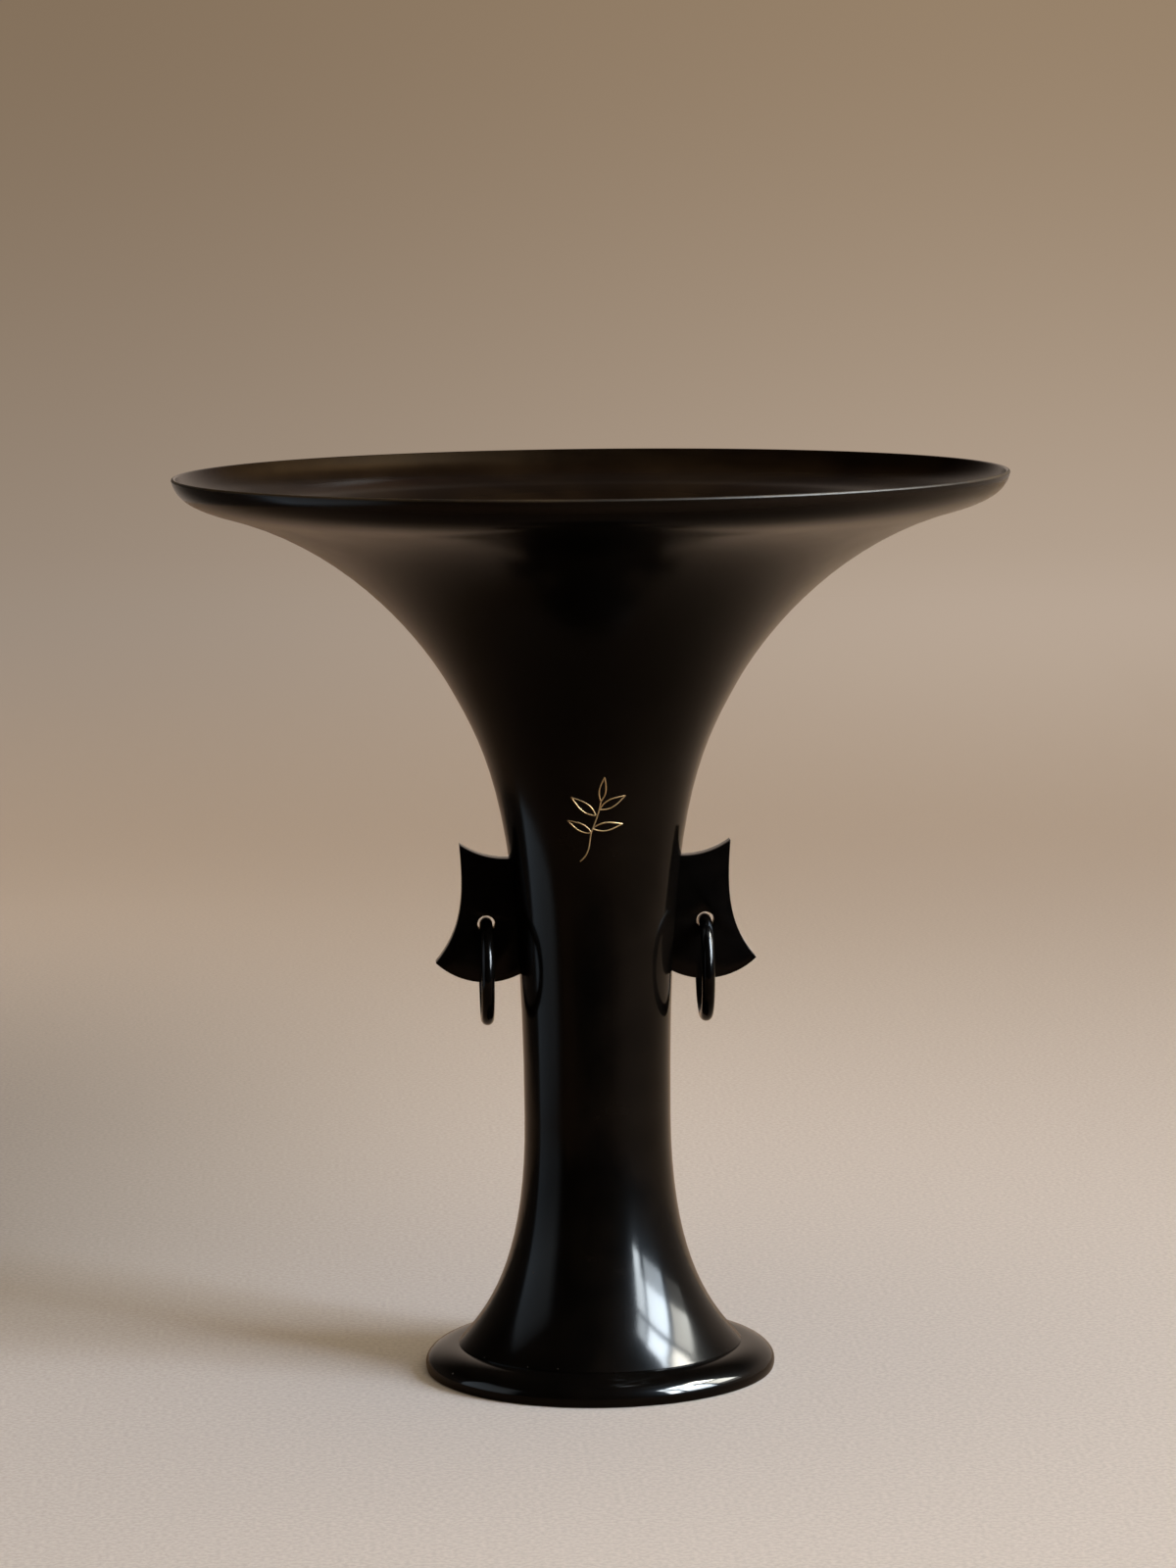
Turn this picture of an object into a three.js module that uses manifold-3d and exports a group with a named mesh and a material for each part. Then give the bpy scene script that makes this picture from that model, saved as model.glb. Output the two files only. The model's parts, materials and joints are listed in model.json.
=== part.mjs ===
// A bronze flower vase: a trumpet-shaped body on a bead foot, with two fan-shaped ears on the stem
// that each carry a loose ring. Millimetres, +Z up. The origin is at the centre of the foot's
// underside, the ears lie along X, and the front looks along -Y.

import * as THREE from 'three';
import { mergeVertices } from 'three/addons/utils/BufferGeometryUtils.js';
import Module from 'manifold-3d';

// Clearance between pieces that are soldered or riveted together
const FIT_GAP = 0.3;

// Foot ring: a half-round bead with a rebate for the body's spigot and a flange for the bottom plate
const BEAD_WIDTH = 11.2;
const BEAD_HEIGHT = 8.8;
const BEAD_WIDEST_HEIGHT = 2.4;
const BEAD_UNDERCUT = 0.7;
const REBATE_DEPTH = 2.8;
const FLANGE_REACH = 4.5;

// Body: radii and stacked heights of the outline's stations, from the foot to the lip
const FLARE_FOOT_RADIUS = 47.3;
const WAIST_RADIUS = 24.4;
const THROAT_RADIUS = 47.6;
const RIM_TURN_RADIUS = 115.8;
const LIP_RADIUS = 137.4;
const FLARE_HEIGHT = 76.3;
const TRUMPET_HEIGHT = 144.9;
const BELL_HEIGHT = 55.8;
const LIP_HEIGHT = 13.05;

// Body: how steeply the outline leaves each station, in degrees above the horizontal, and how far
// that direction pulls the curve on either side
const FLARE_FOOT_SLOPE = 46;
const THROAT_SLOPE = 60.6;
const RIM_TURN_SLOPE = 17.8;
const LIP_SLOPE = 78.7;
const FLARE_FOOT_PULL = 18.1;
const WAIST_LOWER_PULL = 44.2;
const WAIST_UPPER_PULL = 102;
const THROAT_LOWER_PULL = 27;
const THROAT_UPPER_PULL = 15.2;
const RIM_TURN_LOWER_PULL = 40.6;
const RIM_TURN_UPPER_PULL = 8.9;
const LIP_PULL = 8.7;

// Body: wall, lip edge and the spigot that stands in the foot ring
const WALL = 3;
const LIP_EDGE = 1.4;
const SPIGOT_SHOULDER = 1.3;

// Bottom plate and the solder that seals it
const PLATE_THICKNESS = 2.5;
const SEAM_WIDTH = 5;
const SEAM_HEIGHT = 2.5;

// Ears: the ring's hole is placed from the stem, and the plate's outline from the hole
const EAR_THICKNESS = 5.5;
const EAR_HOLE_HEIGHT = 150.8;
const EAR_HOLE_REACH = 9.9;
const EAR_TOP_RISE = 26.8;
const EAR_TOP_REACH = 8.6;
const EAR_SHOULDER_RISE = 21.8;
const EAR_SHOULDER_INSET = 6.9;
const EAR_TIP_DROP = 12.7;
const EAR_TIP_REACH = 16.9;
const EAR_BOTTOM_DROP = 19.4;
const EAR_SIDE_LEAN = 5;
const EAR_SIDE_TOP_PULL = 18;
const EAR_TIP_SLOPE = 50;
const EAR_SIDE_TIP_PULL = 14;

// Tenons that carry each ear, peened over saddle washers inside the stem
const TENON_DIAMETER = 4.5;
const TENON_RISE = 13;
const TENON_DROP = 8;
const TENON_ROOT = 3;
const WASHER_DIAMETER = 9;
const WASHER_THICKNESS = 2;
const HEAD_SPREAD = 1;
const HEAD_THICKNESS = 1;

// Rings: round wire that hangs loosely in the ear's hole
const RING_WIRE = 4.5;
const RING_RADIUS = 15.8;
const RING_PLAY = 1.4;
const RING_SEAT = 0.45;

// Facets
const TURNED_SIDES = 48;
const HOLE_SIDES = 20;
const RING_SIDES = 40;
const WIRE_SIDES = 10;
const FLARE_STEPS = 7;
const TRUMPET_STEPS = 7;
const BELL_STEPS = 8;
const LIP_STEPS = 6;
const EDGE_STEPS = 3;
const BEAD_STEPS = 8;
const UNDERCUT_STEPS = 3;
const SEAM_STEPS = 3;
const EAR_STEPS = 10;

// Heights and radii that follow from the sizes above
const flangeTop = BEAD_HEIGHT - REBATE_DEPTH;
const spigotEnd = flangeTop + FIT_GAP;
const creaseHeight = BEAD_HEIGHT + FIT_GAP;
const waistHeight = creaseHeight + FLARE_HEIGHT;
const throatHeight = waistHeight + TRUMPET_HEIGHT;
const rimTurnHeight = throatHeight + BELL_HEIGHT;
const lipHeight = rimTurnHeight + LIP_HEIGHT;
const spigotRadius = FLARE_FOOT_RADIUS - SPIGOT_SHOULDER;
const spigotBore = spigotRadius - WALL;
const plateTop = spigotEnd + PLATE_THICKNESS;

const wasm = await Module();
wasm.setup();

const bronze = new THREE.MeshStandardMaterial({ color: 0x15110d, roughness: 0.22, metalness: 0.85 });
const ringBronze = new THREE.MeshStandardMaterial({ color: 0x120f0c, roughness: 0.18, metalness: 0.85 });
const plateBronze = new THREE.MeshStandardMaterial({ color: 0x2a2219, roughness: 0.5, metalness: 0.8 });
const washerBrass = new THREE.MeshStandardMaterial({ color: 0x8a6a35, roughness: 0.45, metalness: 0.9 });
const solder = new THREE.MeshStandardMaterial({ color: 0x77746e, roughness: 0.5, metalness: 0.9 });

// Outline of the body

function heading(degrees) {
  const angle = THREE.MathUtils.degToRad(degrees);
  return new THREE.Vector2(Math.cos(angle), Math.sin(angle));
}

function station(radius, height, slope) {
  return { point: new THREE.Vector2(radius, height), heading: heading(slope) };
}

function sweepBetween(start, startPull, end, endPull) {
  return new THREE.CubicBezierCurve(
    start.point,
    start.point.clone().addScaledVector(start.heading, startPull),
    end.point.clone().addScaledVector(end.heading, -endPull),
    end.point,
  );
}

const flareFoot = station(FLARE_FOOT_RADIUS, creaseHeight, 180 - FLARE_FOOT_SLOPE);
const waist = station(WAIST_RADIUS, waistHeight, 90);
const throat = station(THROAT_RADIUS, throatHeight, THROAT_SLOPE);
const rimTurn = station(RIM_TURN_RADIUS, rimTurnHeight, RIM_TURN_SLOPE);
const lip = station(LIP_RADIUS, lipHeight, LIP_SLOPE);

const flareSweep = sweepBetween(flareFoot, FLARE_FOOT_PULL, waist, WAIST_LOWER_PULL);
const trumpetSweep = sweepBetween(waist, WAIST_UPPER_PULL, throat, THROAT_LOWER_PULL);
const bellSweep = sweepBetween(throat, THROAT_UPPER_PULL, rimTurn, RIM_TURN_LOWER_PULL);
const lipSweep = sweepBetween(rimTurn, RIM_TURN_UPPER_PULL, lip, LIP_PULL);

// Points up the outline, each with the wall's thickness there: the wall thins from throat to lip
function outlineStations() {
  const stations = [];
  const addSweep = (curve, steps, wallAt) => {
    for (let i = stations.length ? 1 : 0; i <= steps; i += 1) {
      const t = i / steps;
      stations.push({ point: curve.getPoint(t), tangent: curve.getTangent(t), wall: wallAt(t) });
    }
  };
  const rimTurnWall = (WALL + LIP_EDGE) / 2;
  addSweep(flareSweep, FLARE_STEPS, () => WALL);
  addSweep(trumpetSweep, TRUMPET_STEPS, () => WALL);
  addSweep(bellSweep, BELL_STEPS, (t) => THREE.MathUtils.lerp(WALL, rimTurnWall, t));
  addSweep(lipSweep, LIP_STEPS, (t) => THREE.MathUtils.lerp(rimTurnWall, LIP_EDGE, t));
  return stations;
}

const stations = outlineStations();

// Moves a station's point inwards, square to the outline
function inwards({ point, tangent }, distance) {
  return new THREE.Vector2(point.x - tangent.y * distance, point.y + tangent.x * distance);
}

const outerOutline = stations.map(({ point }) => point);
const innerOutline = stations.map((each) => inwards(each, each.wall));

function radiusAt(outline, height) {
  const above = outline.findIndex((point) => point.y > height);
  const low = outline[above - 1];
  const high = outline[above];
  return THREE.MathUtils.mapLinear(height, low.y, high.y, low.x, high.x);
}

// Geometry helpers

function turned(profile) {
  return new THREE.LatheGeometry(profile, TURNED_SIDES).rotateX(Math.PI / 2);
}

function pinAlongX(diameter, fromX, toX, height) {
  const length = toX - fromX;
  const pin = new THREE.CylinderGeometry(diameter / 2, diameter / 2, length, HOLE_SIDES);
  return pin.rotateZ(Math.PI / 2).translate(fromX + length / 2, 0, height);
}

function pinAlongY(diameter, length, x, height) {
  return new THREE.CylinderGeometry(diameter / 2, diameter / 2, length, HOLE_SIDES).translate(x, 0, height);
}

function solidOf(geometry) {
  const bare = geometry.clone();
  bare.deleteAttribute('normal');
  bare.deleteAttribute('uv');
  const merged = mergeVertices(bare, 1e-4);
  const corners = merged.index.array;
  const triangles = [];
  for (let i = 0; i < corners.length; i += 3) {
    const [a, b, c] = corners.subarray(i, i + 3);
    if (a !== b && b !== c && c !== a) triangles.push(a, b, c);
  }
  const vertProperties = new Float32Array(merged.attributes.position.array);
  const triVerts = new Uint32Array(triangles);
  return new wasm.Manifold(new wasm.Mesh({ numProp: 3, vertProperties, triVerts }));
}

function geometryOf(solid) {
  const { vertProperties, triVerts } = solid.getMesh();
  const geometry = new THREE.BufferGeometry();
  geometry.setAttribute('position', new THREE.BufferAttribute(vertProperties, 3));
  geometry.setIndex(new THREE.BufferAttribute(triVerts, 1));
  geometry.computeVertexNormals();
  return geometry;
}

function named(name, geometry, material) {
  const mesh = new THREE.Mesh(geometry, material);
  mesh.name = name;
  return mesh;
}

// Places along the ear, measured from the axis

const holeX = radiusAt(outerOutline, EAR_HOLE_HEIGHT) + EAR_HOLE_REACH;
const tenonHeights = { upper: EAR_HOLE_HEIGHT + TENON_RISE, lower: EAR_HOLE_HEIGHT - TENON_DROP };
const tenonHoleDiameter = TENON_DIAMETER + 2 * FIT_GAP;

// The washer's flat face looks at the axis; the tenon's peened head lies on it
function washerFaceX(height) {
  return radiusAt(innerOutline, height) - FIT_GAP - WASHER_THICKNESS;
}

// The bore follows the outline's inside down to the spigot, where it drops straight
const boreFoot = innerOutline.findIndex((point) => point.x < spigotBore);
const boreWall = innerOutline.slice(boreFoot);
const boreCornerHeight = THREE.MathUtils.mapLinear(
  spigotBore,
  innerOutline[boreFoot - 1].x,
  innerOutline[boreFoot].x,
  innerOutline[boreFoot - 1].y,
  innerOutline[boreFoot].y,
);

function boreRadiusAt(height) {
  return height < boreCornerHeight ? spigotBore : radiusAt(innerOutline, height);
}

// Body: one turned shell, open at the bottom, with a rounded lip and the holes for the tenons
function vaseBody() {
  const lipMiddle = lip.point.clone().lerp(innerOutline.at(-1), 0.5);
  const lipRound = [];
  for (let i = 1; i < EDGE_STEPS; i += 1) {
    const outwards = heading(LIP_SLOPE - 90 + (180 * i) / EDGE_STEPS);
    lipRound.push(lipMiddle.clone().addScaledVector(outwards, LIP_EDGE / 2));
  }
  const spigotFoot = new THREE.Vector2(spigotRadius, spigotEnd);
  const profile = [
    spigotFoot,
    new THREE.Vector2(spigotRadius, creaseHeight),
    ...outerOutline,
    ...lipRound,
    ...boreWall.toReversed(),
    new THREE.Vector2(spigotBore, boreCornerHeight),
    new THREE.Vector2(spigotBore, spigotEnd),
    spigotFoot,
  ];
  let body = solidOf(turned(profile));
  for (const height of Object.values(tenonHeights)) {
    const reach = THROAT_RADIUS;
    body = body.subtract(solidOf(pinAlongX(tenonHoleDiameter, -reach, reach, height)));
  }
  return geometryOf(body);
}

// Foot ring: the bead's round outside, a rebate for the spigot and a flange under the plate
function footRing() {
  const beadRadius = FLARE_FOOT_RADIUS + BEAD_WIDTH;
  const rebateRadius = spigotRadius + FIT_GAP;
  const bore = spigotBore - FLANGE_REACH;
  const underside = new THREE.EllipseCurve(
    beadRadius - BEAD_UNDERCUT, BEAD_WIDEST_HEIGHT, BEAD_UNDERCUT, BEAD_WIDEST_HEIGHT, -Math.PI / 2, 0,
  );
  const crown = new THREE.EllipseCurve(
    FLARE_FOOT_RADIUS, BEAD_WIDEST_HEIGHT, BEAD_WIDTH, BEAD_HEIGHT - BEAD_WIDEST_HEIGHT, 0, Math.PI / 2,
  );
  const boreFootPoint = new THREE.Vector2(bore, 0);
  return turned([
    boreFootPoint,
    ...underside.getPoints(UNDERCUT_STEPS),
    ...crown.getPoints(BEAD_STEPS).slice(1),
    new THREE.Vector2(rebateRadius, BEAD_HEIGHT),
    new THREE.Vector2(rebateRadius, flangeTop),
    new THREE.Vector2(bore, flangeTop),
    boreFootPoint,
  ]);
}

// Bottom plate: a disc that lies on the foot ring's flange, inside the spigot
function bottomPlate() {
  const radius = boreRadiusAt(plateTop) - FIT_GAP;
  return turned([
    new THREE.Vector2(0, spigotEnd),
    new THREE.Vector2(radius, spigotEnd),
    new THREE.Vector2(radius, plateTop),
    new THREE.Vector2(0, plateTop),
  ]);
}

// Solder seam: a fillet in the corner between the plate and the bore
function solderSeam() {
  const foot = plateTop + FIT_GAP;
  const corner = [];
  for (let i = 0; i <= SEAM_STEPS; i += 1) {
    const height = foot + (SEAM_HEIGHT * i) / SEAM_STEPS;
    corner.push(new THREE.Vector2(boreRadiusAt(height) - FIT_GAP, height));
  }
  const toe = new THREE.Vector2(corner[0].x - SEAM_WIDTH, foot);
  return turned([toe, ...corner, toe]);
}

// Ear: a fan-shaped plate cut to the stem, with the ring's hole and two peened tenons
function earOutline() {
  const top = EAR_HOLE_HEIGHT + EAR_TOP_RISE;
  const shoulder = EAR_HOLE_HEIGHT + EAR_SHOULDER_RISE;
  const shoulderX = holeX - EAR_SHOULDER_INSET;
  const topRun = EAR_TOP_REACH + EAR_SHOULDER_INSET;
  const topLift = top - shoulder;
  const topArc = (topRun ** 2 + topLift ** 2) / (2 * topLift);
  const topTipX = holeX + EAR_TOP_REACH;
  const tipX = holeX + EAR_TIP_REACH;
  const tip = EAR_HOLE_HEIGHT - EAR_TIP_DROP;
  const tipLift = EAR_BOTTOM_DROP - EAR_TIP_DROP;
  const bottomArc = (EAR_TIP_REACH ** 2 + tipLift ** 2) / (2 * tipLift);
  const bottomArcHeight = EAR_HOLE_HEIGHT - EAR_BOTTOM_DROP + bottomArc;
  const lean = heading(-90 - EAR_SIDE_LEAN).multiplyScalar(EAR_SIDE_TOP_PULL);
  const sweep = heading(180 - EAR_TIP_SLOPE).multiplyScalar(EAR_SIDE_TIP_PULL);
  const rootAngle = -0.75 * Math.PI;
  const rootX = holeX + bottomArc * Math.cos(rootAngle);

  const outline = new THREE.Shape();
  outline.moveTo(rootX, shoulder);
  outline.absarc(shoulderX, shoulder + topArc, topArc, -Math.PI / 2, Math.atan2(topLift - topArc, topRun));
  outline.bezierCurveTo(topTipX + lean.x, top + lean.y, tipX + sweep.x, tip + sweep.y, tipX, tip);
  outline.absarc(
    holeX, bottomArcHeight, bottomArc, Math.atan2(tipLift - bottomArc, EAR_TIP_REACH), rootAngle, true,
  );
  return outline;
}

function ear() {
  const blank = new THREE.ExtrudeGeometry(earOutline(), {
    depth: EAR_THICKNESS, bevelEnabled: false, curveSegments: EAR_STEPS,
  });
  blank.rotateX(Math.PI / 2).translate(0, EAR_THICKNESS / 2, 0);
  const seat = stations.map((each) => inwards(each, -FIT_GAP));
  const stem = turned([new THREE.Vector2(0, seat[0].y), ...seat, new THREE.Vector2(0, seat.at(-1).y)]);
  const ringHole = pinAlongY(RING_WIRE + RING_PLAY, 2 * EAR_THICKNESS, holeX, EAR_HOLE_HEIGHT);
  let plate = solidOf(blank).subtract(solidOf(stem)).subtract(solidOf(ringHole));
  for (const height of Object.values(tenonHeights)) {
    const headX = washerFaceX(height) - FIT_GAP;
    const endX = headX - HEAD_THICKNESS;
    const rootX = radiusAt(outerOutline, height) + TENON_ROOT;
    plate = plate.add(solidOf(pinAlongX(TENON_DIAMETER, endX, rootX, height)));
    plate = plate.add(solidOf(pinAlongX(TENON_DIAMETER + 2 * HEAD_SPREAD, endX, headX, height)));
  }
  return geometryOf(plate);
}

// Washer: flat where the tenon's head lies on it, hollowed to the bore where it lies on the stem
function saddleWasher(height) {
  const faceX = washerFaceX(height);
  const beyondX = THROAT_RADIUS;
  const seat = stations.map((each) => inwards(each, each.wall + FIT_GAP));
  const bore = turned([new THREE.Vector2(0, seat[0].y), ...seat, new THREE.Vector2(0, seat.at(-1).y)]);
  const disc = solidOf(pinAlongX(WASHER_DIAMETER, faceX, beyondX, height)).intersect(solidOf(bore));
  return geometryOf(disc.subtract(solidOf(pinAlongX(tenonHoleDiameter, 0, beyondX, height))));
}

// Ring: round wire that hangs from the lower side of the ear's hole
function hangingRing() {
  const wireHeight = EAR_HOLE_HEIGHT - (RING_PLAY / 2 - RING_SEAT);
  const ring = new THREE.TorusGeometry(RING_RADIUS, RING_WIRE / 2, WIRE_SIDES, RING_SIDES);
  return ring.rotateY(Math.PI / 2).translate(holeX, 0, wireHeight - RING_RADIUS);
}

// One side's ear, ring and washers; the other side's are the same, turned half round
function earSide(side, turn) {
  const group = new THREE.Group();
  group.rotation.z = turn;
  group.add(named(`${side}_ear`, ear(), bronze));
  group.add(named(`${side}_ring`, hangingRing(), ringBronze));
  for (const [place, height] of Object.entries(tenonHeights)) {
    group.add(named(`${side}_${place}_washer`, saddleWasher(height), washerBrass));
  }
  return group;
}

const vase = new THREE.Group();
vase.add(named('vase_body', vaseBody(), bronze));
vase.add(named('foot_ring', footRing(), bronze));
vase.add(named('bottom_plate', bottomPlate(), plateBronze));
vase.add(named('bottom_solder_seam', solderSeam(), solder));
vase.add(earSide('right', 0));
vase.add(earSide('left', Math.PI));

export default vase;
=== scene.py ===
import json
import math

import bpy
from mathutils import Matrix, Vector


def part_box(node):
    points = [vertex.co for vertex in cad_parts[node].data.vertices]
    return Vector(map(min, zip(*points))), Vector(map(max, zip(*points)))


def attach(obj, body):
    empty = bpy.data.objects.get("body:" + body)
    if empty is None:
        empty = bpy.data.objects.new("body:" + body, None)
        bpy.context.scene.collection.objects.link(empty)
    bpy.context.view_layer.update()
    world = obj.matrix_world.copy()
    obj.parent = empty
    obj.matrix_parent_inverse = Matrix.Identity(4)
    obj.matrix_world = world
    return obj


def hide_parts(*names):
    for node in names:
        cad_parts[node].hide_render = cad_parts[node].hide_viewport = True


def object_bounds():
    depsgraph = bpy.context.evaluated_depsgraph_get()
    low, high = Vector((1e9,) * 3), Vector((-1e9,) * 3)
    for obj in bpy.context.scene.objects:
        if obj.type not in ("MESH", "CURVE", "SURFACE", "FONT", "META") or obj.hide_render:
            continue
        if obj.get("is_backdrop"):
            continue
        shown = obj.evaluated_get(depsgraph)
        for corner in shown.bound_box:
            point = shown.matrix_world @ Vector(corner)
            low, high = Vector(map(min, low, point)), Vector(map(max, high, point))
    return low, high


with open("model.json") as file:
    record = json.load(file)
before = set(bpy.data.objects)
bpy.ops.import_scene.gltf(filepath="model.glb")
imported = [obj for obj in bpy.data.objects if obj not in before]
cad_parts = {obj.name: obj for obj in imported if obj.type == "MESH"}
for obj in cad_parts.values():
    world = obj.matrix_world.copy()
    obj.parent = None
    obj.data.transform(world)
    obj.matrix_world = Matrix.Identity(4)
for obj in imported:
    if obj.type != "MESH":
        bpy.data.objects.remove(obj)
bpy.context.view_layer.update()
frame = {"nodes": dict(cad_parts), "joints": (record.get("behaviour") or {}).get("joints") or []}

# Vase body: one thin bronze casting, turned on the lathe from the flare at its foot to the lip.
# Its outline is drawn once, closed round the wall and spun about the axis. Outside it has a waxed,
# near-black patina that is faintly rubbed on the lip's edge, and inside a dull brown one.

body_low, body_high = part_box("vase_body")
TURNED_SIDES = 160
CURVE_STEPS = 16
MERGE_DISTANCE = 1e-6
SHARP_ANGLE = math.radians(35)
CREASE_HEIGHT = 0.0091
FLARE_FOOT_RADIUS = 0.0473
SPIGOT_RADIUS = 0.046
SPIGOT_BORE = 0.043
BORE_CORNER_HEIGHT = 0.0094
BORE_CORNER_SLOPE = 132
QUIRK_DEPTH = 0.00028
LIP_ROUNDING = 0.00035
LIP_CROWN_RADIUS = 0.13672
LIP_SIDE_INSET = 0.00003

# Up the outside: radius, height, slope in degrees, the pull on either side, and the wall's thickness
BODY_STATIONS = [
    (FLARE_FOOT_RADIUS, CREASE_HEIGHT, 134.0, 0.0, 0.0181, 0.003),
    (0.0244, 0.0854, 90.0, 0.0442, 0.102, 0.003),
    (0.0476, 0.2303, 60.6, 0.027, 0.0152, 0.003),
    (0.1158, 0.2861, 17.8, 0.0406, 0.0089, 0.0022),
    (body_high.x - LIP_SIDE_INSET, 0.29915, 78.7, 0.0087, LIP_ROUNDING, 0.0014),
]
PULL_BELOW, PULL_ABOVE = 3, 4


def slope_way(slope):
    """The way along an outline in the XZ plane, at a slope in degrees."""
    return Vector((math.cos(math.radians(slope)), 0, math.sin(math.radians(slope))))


def corner(across, up, into, into_pull, out_of, out_pull, depth=0.0):
    """A point of an outline in the XZ plane, as its first handle, its place and its second handle."""
    place = Vector((across, depth, up))
    return place - slope_way(into) * into_pull, place, place + slope_way(out_of) * out_pull


def knot(across, up, slope=0.0, before=0.0, after=0.0, depth=0.0):
    """A point that an outline goes through at one slope."""
    return corner(across, up, slope, before, slope, after, depth)


def drawn_curve(name, knots, closed):
    """A Bezier curve object through the knots."""
    bpy.ops.object.select_all(action="DESELECT")
    bpy.ops.curve.primitive_bezier_curve_add(location=(0, 0, 0))
    curve = bpy.context.object
    curve.name = name
    curve.data.resolution_u = CURVE_STEPS
    spline = curve.data.splines[0]
    spline.bezier_points.add(len(knots) - 2)
    spline.use_cyclic_u = closed
    for point, (before, place, after) in zip(spline.bezier_points, knots):
        point.handle_left_type = "FREE"
        point.handle_right_type = "FREE"
        point.co = place
        point.handle_left = before
        point.handle_right = after
    return curve


def tidied():
    """Merges the active mesh's doubled points and turns its faces outwards."""
    bpy.ops.object.mode_set(mode="EDIT")
    bpy.ops.mesh.select_all(action="SELECT")
    bpy.ops.mesh.remove_doubles(threshold=MERGE_DISTANCE)
    bpy.ops.mesh.normals_make_consistent(inside=False)
    bpy.ops.object.mode_set(mode="OBJECT")


def turned(name, knots):
    """A closed outline spun about the Z axis, as a mesh that is smooth but for its sharp edges."""
    piece = drawn_curve(name, knots, closed=True)
    bpy.ops.object.convert(target="MESH")
    bpy.ops.object.mode_set(mode="EDIT")
    bpy.ops.mesh.select_all(action="SELECT")
    bpy.ops.mesh.spin(steps=TURNED_SIDES, angle=math.tau, center=(0, 0, 0), axis=(0, 0, 1))
    bpy.ops.object.mode_set(mode="OBJECT")
    tidied()
    bpy.ops.object.shade_smooth_by_angle(angle=SHARP_ANGLE)
    return piece


def inside_knots():
    """From the lip down to the bore's corner: each station moved in by the wall, the pulls to suit."""
    places = [Vector((SPIGOT_BORE, 0, BORE_CORNER_HEIGHT))]
    slopes = [BORE_CORNER_SLOPE]
    for radius, height, slope, *_, wall in BODY_STATIONS[1:]:
        places.append(Vector((radius, 0, height)) + slope_way(slope + 90) * wall)
        slopes.append(slope)
    scales = []
    for i, (lower, upper) in enumerate(zip(BODY_STATIONS, BODY_STATIONS[1:])):
        outside_length = math.hypot(upper[0] - lower[0], upper[1] - lower[1])
        scales.append((places[i + 1] - places[i]).length / outside_length)
    knots = []
    for i in reversed(range(len(places))):
        pull_up = BODY_STATIONS[i][PULL_ABOVE] * scales[i] if i < len(scales) else LIP_ROUNDING
        pull_down = BODY_STATIONS[i][PULL_BELOW] * scales[i - 1] if i else 0.0
        knots.append(knot(places[i].x, places[i].z, slopes[i] + 180, pull_up, pull_down))
    return knots


body_knots = [
    knot(SPIGOT_RADIUS, body_low.z),
    knot(SPIGOT_RADIUS, CREASE_HEIGHT - QUIRK_DEPTH),
    knot(FLARE_FOOT_RADIUS, CREASE_HEIGHT - QUIRK_DEPTH),
    *[knot(*station[:PULL_ABOVE + 1]) for station in BODY_STATIONS],
    knot(LIP_CROWN_RADIUS, body_high.z, 180, LIP_ROUNDING, LIP_ROUNDING),
    *inside_knots(),
    knot(SPIGOT_BORE, body_low.z),
]
body = turned("body_shell", body_knots)

# The places of a Mix node's sockets for colours
MIX_FACTOR, MIX_FIRST, MIX_SECOND, MIX_RESULT = 0, 6, 7, 2

# Where most values of a noise lie
NOISE_RANGE = (0.3, 0.7)


def plugged(tree, value, socket):
    """Links a socket to another one, or sets it to a plain value."""
    if isinstance(value, bpy.types.NodeSocket):
        tree.links.new(value, socket)
    else:
        socket.default_value = value


def fitted(tree, made, **inputs):
    """Sets or links the inputs of a node, named with _ for a space."""
    for name, value in inputs.items():
        plugged(tree, value, made.inputs[name.replace("_", " ")])
    return made


def add_node(tree, kind, settings=None, **inputs):
    """Adds a shader node with its settings and its inputs."""
    made = tree.nodes.new(kind)
    for name, value in (settings or {}).items():
        setattr(made, name, value)
    return fitted(tree, made, **inputs)


def operated(tree, operation, first, second=0.0):
    """The result of a Math node on two values or sockets."""
    made = add_node(tree, "ShaderNodeMath", {"operation": operation})
    plugged(tree, first, made.inputs[0])
    plugged(tree, second, made.inputs[1])
    return made.outputs[0]


def times(tree, first, second):
    """The product of two values or sockets."""
    return operated(tree, "MULTIPLY", first, second)


def plus(tree, first, second):
    """The sum of two values or sockets."""
    return operated(tree, "ADD", first, second)


def spread(tree, value, low, high, to_low, to_high):
    """A value eased from one range to another, held at its ends."""
    made = add_node(
        tree, "ShaderNodeMapRange", {"interpolation_type": "SMOOTHSTEP"}, Value=value,
        From_Min=low, From_Max=high, To_Min=to_low, To_Max=to_high,
    )
    return made.outputs["Result"]


def mixed(tree, factor, first, second):
    """A colour between two colours."""
    made = add_node(tree, "ShaderNodeMix", {"data_type": "RGBA"})
    for place, value in ((MIX_FACTOR, factor), (MIX_FIRST, first), (MIX_SECOND, second)):
        plugged(tree, value, made.inputs[place])
    return made.outputs[MIX_RESULT]


def split(tree, vector):
    """The X, Y and Z of a vector."""
    return add_node(tree, "ShaderNodeSeparateXYZ", Vector=vector).outputs


def new_group(name, numbers, results):
    """A node group that takes a Vector and some numbers: the group, its inputs and its results."""
    group = bpy.data.node_groups.new(name, "ShaderNodeTree")
    group.interface.new_socket("Vector", in_out="INPUT", socket_type="NodeSocketVector")
    for socket in numbers:
        group.interface.new_socket(socket, in_out="INPUT", socket_type="NodeSocketFloat")
    for socket in results:
        group.interface.new_socket(socket, in_out="OUTPUT", socket_type="NodeSocketFloat")
    return group, group.nodes.new("NodeGroupInput").outputs, group.nodes.new("NodeGroupOutput").inputs


GRAIN_FINENESS = 60.0
SPECK_SIZES = (0.03, 0.10)


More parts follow.
